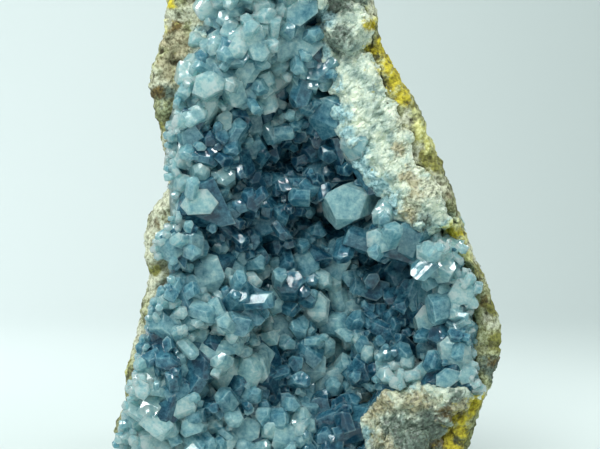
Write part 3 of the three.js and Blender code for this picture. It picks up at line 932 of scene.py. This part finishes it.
# %% Stains
# Each is (light, dark, patches as (x mm, z mm, radius mm)). Blue is not a stain but the clear
# celestite that shows where the massive layer thins out.
STAINS = {
    "blue": ("#b7d8d9", "#5e8f9a", [
        (8, 178, 5), (6, 190, 5), (7, 203, 5), (13, 164, 5), (15, 154, 5), (21, 144, 6),
        (28, 135, 6), (35, 126, 6), (46, 119, 5), (57, 118, 4), (28, 46, 5), (40, 53, 4),
        (24, 30, 4), (-43, 200, 4), (-47, 186, 4), (68, 121, 4),
    ]),
    "cream": ("#dfe2c8", "#8f9078", [
        (-63, 113, 14), (-66, 95, 10), (52, 134, 7), (-60, 128, 8), (74, 102, 5), (-70, 70, 8),
        (68, 107, 5), (75, 78, 4), (72, 47, 4), (40, 161, 5), (45, 147, 6), (42, 127, 5),
        (-56, 203, 6), (-60, 178, 6), (38, 47, 5), (25, 38, 5), (52, 46, 4), (-63, 152, 5),
        (28, 210, 5), (-46, 206, 6), (-47, 222, 7), (-50, 184, 5),
    ]),
    "tan": ("#c3bd9b", "#6f684c", [
        (36, 150, 4), (39, 138, 4), (44, 134, 4), (-54, 192, 8), (-52, 222, 9), (-50, 176, 5),
        (30, 44, 6), (46, 45, 6), (34, 28, 8), (62, 42, 6), (-58, 183, 5), (41, 122, 3),
        (57, 131, 3),
    ]),
    "grey": ("#76877a", "#364238", [
        (40, 30, 8), (52, 34, 7), (44, 14, 10), (58, 12, 8), (30, 20, 7), (60, 48, 4), (77, 60, 6),
        (79, 53, 4), (46, 120, 4), (-58, 172, 5), (12, 196, 6), (20, 214, 7), (13, 208, 5),
        (34, 16, 9), (48, 22, 15), (60, 28, 6), (51, 33, 11), (36, 36, 5),
    ]),
    # Brown is partly a real brown streak low on the right and partly painted shade along the rim.
    "brown_and_shade": ("#7c6a3e", "#40361f", [
        (57, 27, 4), (53, 19, 4), (74, 86, 3), (78, 62, 3), (-55, 199, 3), (-62, 172, 3),
        (47, 148, 2.5), (65, 70, 3), (-63, 118, 2), (56, 41, 3),
    ]),
    "olive": ("#97964e", "#55542a", [
        (50, 146, 5), (54, 142, 4), (-62, 143, 3), (77, 84, 4), (79, 70, 4), (70, 100, 3),
        (-62, 158, 3), (43, 168, 3), (70, 43, 4), (-77, 62, 3), (-64, 100, 3), (60, 110, 3),
        (63, 30, 5),
    ]),
    "lemon": ("#e9e9a6", "#b0ad5c", [
        (45, 161, 4), (48, 156, 5), (51, 151, 4), (-58, 214, 3), (-61, 200, 3), (59, 117, 4),
        (64, 112, 4), (66, 105, 3), (30, 206, 3), (-76, 56, 2.5), (68, 46, 3),
    ]),
    "ochre": ("#dbcb3e", "#8e7f1f", [
        (30, 191, 4), (32, 185, 5), (36, 178, 5), (39, 171, 4), (61, 116, 3), (-58, 209, 2.5),
        (69, 45, 4), (64, 38, 4), (61, 31, 4), (60, 22, 5), (59, 13, 6), (-57, 218, 2.5),
        (25, 201, 3),
    ]),
}


# %% Laying the stains
DRIFT_MM = 3
DRIFT_BEHIND_MM = 9  # how much more they drift behind the rim
RIM_MM = (-30, -5)  # where the rim turns to the back, along Y
DRIFT_WAVE_MM = 9


def store_stains(thing, share):
    """Stores how much of each stain lies on each vertex, times that vertex's share."""
    places = vertex_vectors(thing.data)
    drift = (DRIFT_MM + DRIFT_BEHIND_MM * smooth(places[:, 1] / MM, *RIM_MM)) * MM
    for seed, axis in [(21, 0), (22, 2)]:
        places[:, axis] += drift * np.array([lumps(place, DRIFT_WAVE_MM, 2, seed) for place in places])
    for name, (_, _, spots) in STAINS.items():
        set_vertex_values(thing.data, name, share * patches(spots, places))


def add_stains(tree, colour, grain, grit):
    """Lays the stains over a colour. grain makes their borders ragged and grit speckles them."""
    for name, (light, dark, _) in STAINS.items():
        spread = add(tree, "ShaderNodeAttribute", attribute_name=name).outputs["Fac"]
        ragged = add(
            tree, "ShaderNodeMath", {0: grain, 1: 2.2, 2: spread}, operation="MULTIPLY_ADD"
        ).outputs[0]
        amount = add(tree, "ShaderNodeMapRange", {0: ragged, 1: 1.45, 2: 1.9}).outputs[0]
        hue = add(
            tree, "ShaderNodeValToRGB", {"Fac": grit}, stops=[(0.36, dark), (0.6, light)]
        ).outputs["Color"]
        colour = add(
            tree, "ShaderNodeMix", {"Factor": amount, 6: colour, 7: hue}, data_type="RGBA"
        ).outputs[2]
    return colour


print("Stains:", ", ".join(STAINS))

# %% [markdown]
# ## Massive celestite, the finish
#
# The same mineral in small grains is white, because light is turned back at every grain. The eye
# takes it for damp sugar: pale, soft in its shadows and speckled with dirt. A clear surface would
# have to be deep and full of grains to look so. An opaque one with a little light scattered below
# it gives the same at once. Real grains are about half a millimetre across and wouldn't show, so
# they are drawn at 1.5 mm.

# %% Celestite, massive
CLOUD_MM = 7
GRAIN_MM = 4
GRIT_MM = 1.5

store_stains(massive, 1.0)
massive_celestite, tree, output, place = new_material("celestite, massive and milky")
cloud, grain, sugar = [
    add(
        tree,
        "ShaderNodeTexNoise",
        {"Vector": place, "Scale": per_metre(size), "Detail": detail, "Roughness": roughness},
    ).outputs["Fac"]
    for size, detail, roughness in [(CLOUD_MM, 6.0, 0.75), (GRAIN_MM, 5.0, 0.7), (GRIT_MM, 3.0, 0.6)]
]
colour = add(
    tree,
    "ShaderNodeValToRGB",
    {"Fac": cloud},
    stops=[(0.34, "#748d88"), (0.46, "#b2c3b5"), (0.6, "#e4ead4")],
).outputs["Color"]
colour = add_stains(tree, colour, grain, sugar)
flecks = add(tree, "ShaderNodeMapRange", {0: sugar, 1: 0.3, 2: 0.42, 3: 0.4, 4: 1.0}).outputs[0]
colour = add(
    tree, "ShaderNodeMix", {"Factor": flecks, 6: "#5f6a60", 7: colour}, data_type="RGBA"
).outputs[2]
bump = add(tree, "ShaderNodeBump", {"Height": sugar, "Distance": 0.5 * MM, "Strength": 0.8})
surface = add(
    tree,
    "ShaderNodeBsdfPrincipled",
    {
        "Base Color": colour,
        "Roughness": 0.4,
        "IOR": CELESTITE_IOR,
        "Subsurface Weight": 0.4,
        "Subsurface Radius": (1.1, 1.1, 1.0),
        "Subsurface Scale": 2.0 * MM,
        "Normal": bump.outputs["Normal"],
    },
)
tree.links.new(surface.outputs[0], output.inputs["Surface"])
massive.data.materials.clear()
massive.data.materials.append(massive_celestite)
print("Massive celestite wears", massive_celestite.name)

# %% [markdown]
# ## The limestone shell
#
# The rock is a fine-grained, porous limestone. Weathering left it knobbly, pitted and dusted with
# clay, and iron in the water stained it ochre and olive along the broken rim. The CAD shell has
# the nodules. Sculpting the rest by hand would be slow work. So the shell is rebuilt from even
# faces, and noise adds the knobs, pits and grains that are too small for the CAD. The underside
# stays flat, because the stone stands on it.

# %% Limestone, the shape
ROCK_FACE_MM = 1.3

rock = welded("limestone_shell", "limestone_rock")
even_out(rock, ROCK_FACE_MM)
relief = roughen(
    rock,
    waves=[(16, 1.5, 7), (6, 1.0, 8)],
    grain_sizes=[(6, 0.6, 9), (3, 0.6, 10)],
    pits=[(6, 1.3, 11)],
    base_flat=True,
)
set_vertex_values(rock.data, "relief", relief)
rock.data.shade_smooth()
print(f"Limestone: {triangles(rock)} triangles, relief {relief.min():.1f} to {relief.max():.1f} mm")
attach(rock, "root")
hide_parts("limestone_shell")

# %% [markdown]
# ## Limestone, the finish
#
# Broken limestone is matt and earthy: pale grit, grey in some zones and cream in others, and
# darker in every pit. A single noise would look like clouds. One for each size, zones, grain and
# grit, looks like stone, and the relief stored with the shape makes its low places darker. Real grit
# is about a quarter of a millimetre across and wouldn't show, so it is drawn at 1.5 mm.

# %% Limestone, its colours
ZONE_MM = 22
STAINS_END_MM = (-4, 8)  # where they fade out behind the rim, along Y, with a wavy border
BORDER_HEIGHT_MM = 14
BORDER_WAVE_MM = 16

places = vertex_vectors(rock.data)
border = BORDER_HEIGHT_MM * np.array([lumps(place, BORDER_WAVE_MM, 2, 12) for place in places])
store_stains(rock, 1 - smooth(places[:, 1] / MM + border, *STAINS_END_MM))
limestone, tree, output, place = new_material("limestone, weathered and stained")
broad, grain, grit = [
    add(
        tree,
        "ShaderNodeTexNoise",
        {"Vector": place, "Scale": per_metre(size), "Detail": detail, "Roughness": roughness},
    ).outputs["Fac"]
    for size, detail, roughness in [(ZONE_MM, 4.0, 0.6), (GRAIN_MM, 5.0, 0.7), (GRIT_MM, 3.0, 0.6)]
]
greys, creams = [
    add(
        tree, "ShaderNodeValToRGB", {"Fac": grit}, stops=zip((0.34, 0.48, 0.62), shades)
    ).outputs["Color"]
    for shades in [("#42442d", "#767a54", "#a9ae82"), ("#686944", "#a3a778", "#d3d7ae")]
]
is_cream = add(tree, "ShaderNodeMapRange", {0: broad, 1: 0.44, 2: 0.58}).outputs[0]
colour = add(
    tree, "ShaderNodeMix", {"Factor": is_cream, 6: greys, 7: creams}, data_type="RGBA"
).outputs[2]
colour = add_stains(tree, colour, grain, grit)

# %% Limestone, darker low places and grit
relief = add(tree, "ShaderNodeAttribute", attribute_name="relief").outputs["Fac"]
height = add(
    tree, "ShaderNodeMath", {0: relief, 1: 0.12, 2: grain}, operation="MULTIPLY_ADD"
).outputs[0]
# Darker where the relief and grain are low, in the pits and grooves.
hollow = add(tree, "ShaderNodeMapRange", {0: height, 1: 0.22, 2: 0.46}).outputs[0]
colour = add(
    tree, "ShaderNodeMix", {"Factor": hollow, 6: "#3d3924", 7: colour}, data_type="RGBA"
).outputs[2]
bump = add(tree, "ShaderNodeBump", {"Height": grit, "Distance": 0.7 * MM, "Strength": 0.9})
surface = add(
    tree,
    "ShaderNodeBsdfPrincipled",
    {"Base Color": colour, "Roughness": 0.88, "Normal": bump.outputs["Normal"]},
)
tree.links.new(surface.outputs[0], output.inputs["Surface"])
rock.data.materials.clear()
rock.data.materials.append(limestone)
print("The rock wears", limestone.name)

# %% [markdown]
# ## The studio
#
# A sheet of pale paper lies flat under the stone and sweeps up far behind it, so that no line
# shows where the floor ends. A large soft light from the upper left shows the relief. Under it
# alone crystals look dull, because glints are reflections of something small and bright, so three
# small lights are added. A weak fill keeps the right side open, and two lights even out the paper.

# %% The paper
# All in metres.
FLOOR_FRONT = -0.9
FLOOR_BACK = 0.6
BEND = 0.5
TOP = 1.4
HALF_WIDTH = 1.6
BEND_STEPS = 12

stage_material, tree, output, _ = new_material("paper backdrop")
surface = add(tree, "ShaderNodeBsdfPrincipled", {"Base Color": "#ced8d6", "Roughness": 0.9})
tree.links.new(surface.outputs[0], output.inputs["Surface"])

profile = [(FLOOR_FRONT, 0.0), (FLOOR_BACK, 0.0)]
for step in range(1, BEND_STEPS + 1):
    turn = math.radians(90 * step / BEND_STEPS)
    profile.append((FLOOR_BACK + BEND * math.sin(turn), BEND * (1 - math.cos(turn))))
profile.append((FLOOR_BACK + BEND, TOP))
sweep_corners = [(x, y, z) for y, z in profile for x in (-HALF_WIDTH, HALF_WIDTH)]
sweep_faces = [(2 * i, 2 * i + 1, 2 * i + 3, 2 * i + 2) for i in range(len(profile) - 1)]
sweep_mesh = bpy.data.meshes.new("backdrop")
sweep_mesh.from_pydata(sweep_corners, [], sweep_faces)
sweep_mesh.materials.append(stage_material)
sweep_mesh.shade_smooth()
backdrop = new_object("backdrop", sweep_mesh)
print("Paper sweep:", len(sweep_faces), "faces")

# %% The lights
# Each is name, position and aim in metres, size in metres, power in watts, and colour.
LIGHTS = [
    ("key", (-0.35, -0.65, 0.95), AIM, 0.5, 8.6, "#f8fffc"),
    ("glint", (-0.5, -0.75, 0.45), AIM, 0.13, 1.2, "#ffffff"),
    ("glint", (0.2, -0.45, 1.05), AIM, 0.13, 1.2, "#ffffff"),
    ("glint", (0.05, -0.85, 0.7), AIM, 0.13, 1.2, "#ffffff"),
    ("fill", (0.8, -0.7, 0.3), AIM, 0.7, 0.8, "#dcf8f2"),
    ("wash", (-0.5, 0.3, 0.6), (-0.14, 0.9, 0.06), 0.3, 4.6, "#fbfbff"),
    ("floor", (0.3, 0.1, 0.3), (0.17, 0.28, 0), 0.15, 0.6, "#ffffff"),
]


def soft_light(name, position, aim, size, power, colour):
    """A square area light that faces a point."""
    light = bpy.data.lights.new(name, "AREA")
    light.size = size
    light.energy = power
    light.color = linear(colour)[:3]
    lamp = bpy.data.objects.new(name, light)
    bpy.context.scene.collection.objects.link(lamp)
    lamp.location = position
    lamp.rotation_euler = (Vector(aim) - Vector(position)).to_track_quat("-Z", "Y").to_euler()


for row in LIGHTS:
    soft_light(*row)

world = bpy.data.worlds.new("studio")
world.use_nodes = True
background = world.node_tree.nodes["Background"]
background.inputs["Color"].default_value = linear("#d4e4e4")
background.inputs["Strength"].default_value = 0.38
bpy.context.scene.world = world
bpy.context.scene.view_settings.view_transform = "Standard"
print("Lights:", ", ".join(row[0] for row in LIGHTS))
